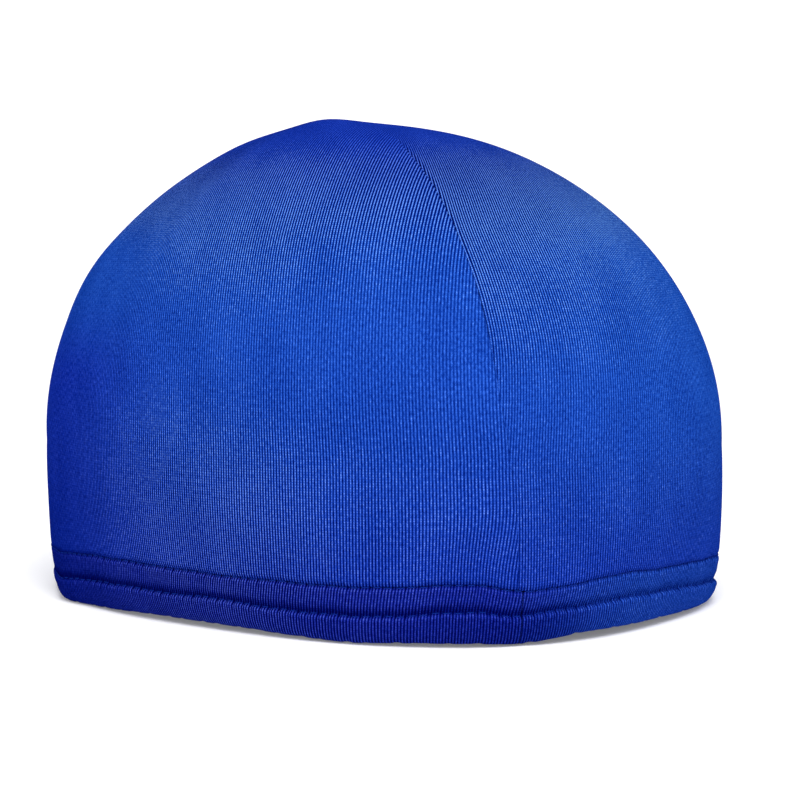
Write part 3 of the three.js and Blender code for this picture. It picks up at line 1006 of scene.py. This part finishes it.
def thread_material():
    graph = Graph("stitch_thread")
    graph.shade("Base Color", THREAD_COLOUR)
    graph.shade("Roughness", THREAD_ROUGHNESS)
    graph.shade("Specular IOR Level", 0.0)
    return graph.material


def floor_material():
    graph = Graph("floor_paint")
    graph.shade("Base Color", FLOOR_COLOUR)
    graph.shade("Emission Color", WHITE)
    graph.shade("Emission Strength", FLOOR_GLOW)
    graph.shade("Roughness", FLOOR_ROUGHNESS)
    graph.shade("Specular IOR Level", FLOOR_SPECULAR)
    return graph.material


# Studio

def studio_floor():
    """A wide pale floor that curves up at its far rim, so that no edge or horizon shows."""
    profile = [(0.3, 0.0), (0.6, 0.0), (FLOOR_FLAT_RADIUS, 0.0)]
    for share in np.linspace(0.08, 1.0, FLOOR_CURVE_RINGS):
        turn = share * math.pi / 2
        out = lerp(FLOOR_FLAT_RADIUS, FLOOR_RIM_RADIUS, math.sin(turn))
        profile.append((out, FLOOR_RIM_HEIGHT * (1 - math.cos(turn))))
    turn = np.arange(FLOOR_SIDES) / FLOOR_SIDES * 2 * math.pi
    rings = [
        np.stack([out * np.sin(turn), -out * np.cos(turn), np.full(FLOOR_SIDES, z)], axis=-1)
        for out, z in profile
    ]
    points = np.concatenate([np.zeros((1, 3))] + rings)
    middle = [[0, 1 + side, 1 + (side + 1) % FLOOR_SIDES] for side in range(FLOOR_SIDES)]
    outer = (1 + tube_faces(len(rings), FLOOR_SIDES)).tolist()
    mesh = bpy.data.meshes.new("studio_floor")
    mesh.from_pydata(points.tolist(), [], middle + outer)
    mesh.polygons.foreach_set("use_smooth", np.ones(len(mesh.polygons), dtype=bool))
    mesh.materials.append(floor_material())
    floor = bpy.data.objects.new("studio_floor", mesh)
    bpy.context.scene.collection.objects.link(floor)
    return floor


def camera_direction(turn, rise):
    """Direction from the cap, turned from the front toward the wearer's right, and raised."""
    turn, rise = math.radians(turn), math.radians(rise)
    return Vector((-math.sin(turn) * math.cos(rise), -math.cos(turn) * math.cos(rise), math.sin(rise)))


def photo_camera():
    camera = bpy.data.objects.new("photo_camera", bpy.data.cameras.new("photo_camera"))
    bpy.context.scene.collection.objects.link(camera)
    back = camera_direction(CAMERA_TURN, CAMERA_RISE)
    look = (-back).to_track_quat("-Z", "Y")
    camera.rotation_mode = "QUATERNION"
    camera.rotation_quaternion = look @ Quaternion((0.0, 0.0, 1.0), math.radians(-CAMERA_ROLL))
    right = camera.rotation_quaternion @ Vector((1.0, 0.0, 0.0))
    up = camera.rotation_quaternion @ Vector((0.0, 1.0, 0.0))
    camera.location = AIM + back * CAMERA_DISTANCE + right * FRAME_RIGHT + up * FRAME_UP
    camera.data.sensor_width = SENSOR
    camera.data.lens = SENSOR * CAMERA_DISTANCE / FIELD_WIDTH
    camera.data.clip_start = NEAREST_SEEN
    camera.data.clip_end = FARTHEST_SEEN
    bpy.context.scene.camera = camera


def soft_light(name, place, target, size, power):
    """A square soft light at a place, aimed at a target."""
    data = bpy.data.lights.new(name, "AREA")
    data.size = size
    data.energy = power
    light = bpy.data.objects.new(name, data)
    light.location = place
    light.rotation_mode = "QUATERNION"
    light.rotation_quaternion = (target - place).to_track_quat("-Z", "Y")
    bpy.context.scene.collection.objects.link(light)


def studio_lights():
    """A high key light, a low fill light and one for the floor behind, in an even white room."""
    key_place = CAP_MIDDLE + camera_direction(CAMERA_TURN - 8.0, 53.0) * 1.3
    fill_place = CAP_MIDDLE + camera_direction(CAMERA_TURN + 15.0, 20.0) * 1.5
    behind = CAMERA_TURN + 180.0
    soft_light("key_light", key_place, CAP_MIDDLE, 0.8, 16.8)
    soft_light("fill_light", fill_place, CAP_MIDDLE, 0.9, 2.0)
    soft_light(
        "backdrop_light", camera_direction(behind, 45.0) * 1.5, camera_direction(behind, 6.0) * 1.5, 0.9, 5.0
    )
    world = bpy.data.worlds.new("studio_light")
    world.use_nodes = True
    background = world.node_tree.nodes["Background"]
    background.inputs["Color"].default_value = WHITE
    background.inputs["Strength"].default_value = ROOM_LIGHT
    bpy.context.scene.world = world


# The cap

panel_knit = knit_material("panel_knit", TIGHT_AND_LIT_TONES, LOOSE_AND_SHADED_TONES)
hem_knit = knit_material("hem_knit", TIGHT_AND_LIT_TONES, HEM_TONES)

hem = hem_cloth(hem_knit)
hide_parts("hem_band")
stitches = stitch_rows(thread_material())
ridges = seam_ridges(panel_knit)

for panel_name in PANELS:
    cloth, arc, climb_length, cloth_area = panel_cloth(panel_name, panel_knit)
    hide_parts(panel_name)

# The studio round it

studio_floor()
photo_camera()
studio_lights()
bpy.context.scene.view_settings.view_transform = "Standard"
